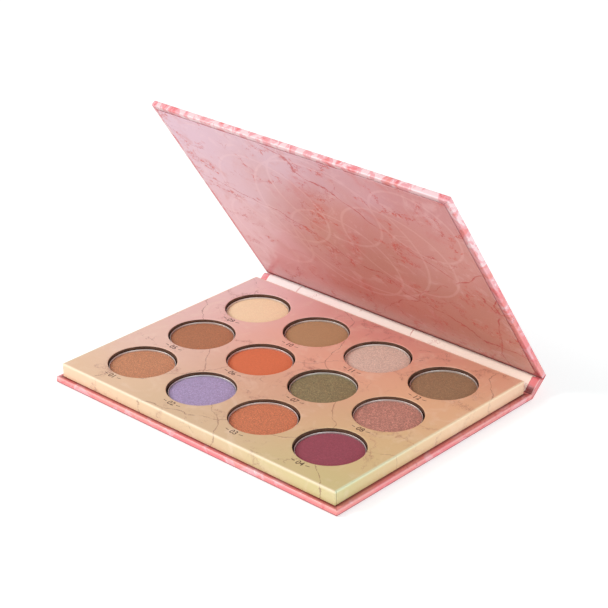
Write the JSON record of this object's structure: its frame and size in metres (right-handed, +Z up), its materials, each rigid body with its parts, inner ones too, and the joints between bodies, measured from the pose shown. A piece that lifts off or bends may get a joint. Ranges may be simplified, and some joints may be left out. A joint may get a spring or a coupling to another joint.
{
  "type": "eyeshadow palette",
  "caption": "Book-style paperboard makeup palette: a hinged lid and spine fold over a raised tray of round powder pans.",
  "frame": {"origin": "centre of the base panel's underside, where the palette rests on a table", "axes": "+Z up, +X along the hinge to the right as seen from the front, +Y from the front edge towards the hinge"},
  "size_m": [0.1466, 0.1223, 0.1013],
  "materials": {
    "wrap_paper": "satin",
    "lid_liner_paper": "satin",
    "spine_liner_paper": "satin",
    "tray_paper": "satin",
    "greyboard": "matte",
    "pan_metal": "satin",
    "magnet_nickel": "satin",
    "powder_bronze": "satin",
    "powder_lavender": "matte",
    "powder_copper": "satin",
    "powder_burgundy": "matte",
    "powder_chestnut": "satin",
    "powder_orange": "matte",
    "powder_olive": "satin",
    "powder_rosewood": "satin",
    "powder_cream": "satin",
    "powder_tan": "matte",
    "powder_champagne": "satin",
    "powder_umber": "satin"
  },
  "bodies": {
    "base": {"base_wrap": "wrap_paper", "base_liner": "spine_liner_paper", "tray_wrap": "tray_paper", "base_board": "greyboard", "tray_face_board": "greyboard", "tray_floor_card": "greyboard", "tray_wall_front": "greyboard", "tray_wall_back": "greyboard", "tray_wall_left": "greyboard", "tray_wall_right": "greyboard", "tray_magnet_left": "magnet_nickel", "tray_magnet_right": "magnet_nickel", "pan_01": "pan_metal", "powder_01": "powder_bronze", "pan_02": "pan_metal", "powder_02": "powder_lavender", "pan_03": "pan_metal", "powder_03": "powder_copper", "pan_04": "pan_metal", "powder_04": "powder_burgundy", "pan_05": "pan_metal", "powder_05": "powder_chestnut", "pan_06": "pan_metal", "powder_06": "powder_orange", "pan_07": "pan_metal", "powder_07": "powder_olive", "pan_08": "pan_metal", "powder_08": "powder_rosewood", "pan_09": "pan_metal", "powder_09": "powder_cream", "pan_10": "pan_metal", "powder_10": "powder_tan", "pan_11": "pan_metal", "powder_11": "powder_champagne", "pan_12": "pan_metal", "powder_12": "powder_umber"},
    "spine": {"spine_wrap": "wrap_paper", "spine_board": "greyboard", "spine_liner": "spine_liner_paper"},
    "lid": {"lid_wrap": "wrap_paper", "lid_board": "greyboard", "lid_liner": "lid_liner_paper", "lid_magnet_left": "magnet_nickel", "lid_magnet_right": "magnet_nickel"}
  },
  "joints": [
    {"name": "spine_fold", "type": "hinge", "parent": "base", "child": "spine", "pos_m": [0, 0.05725, 0.0001], "axis": [1, 0, 0], "range_deg": [-41, 49]},
    {"name": "lid_fold", "type": "hinge", "parent": "spine", "child": "lid", "pos_m": [0, 0.0654, 0.00719], "axis": [1, 0, 0], "range_deg": [-83.5, 6.5]}
  ]
}
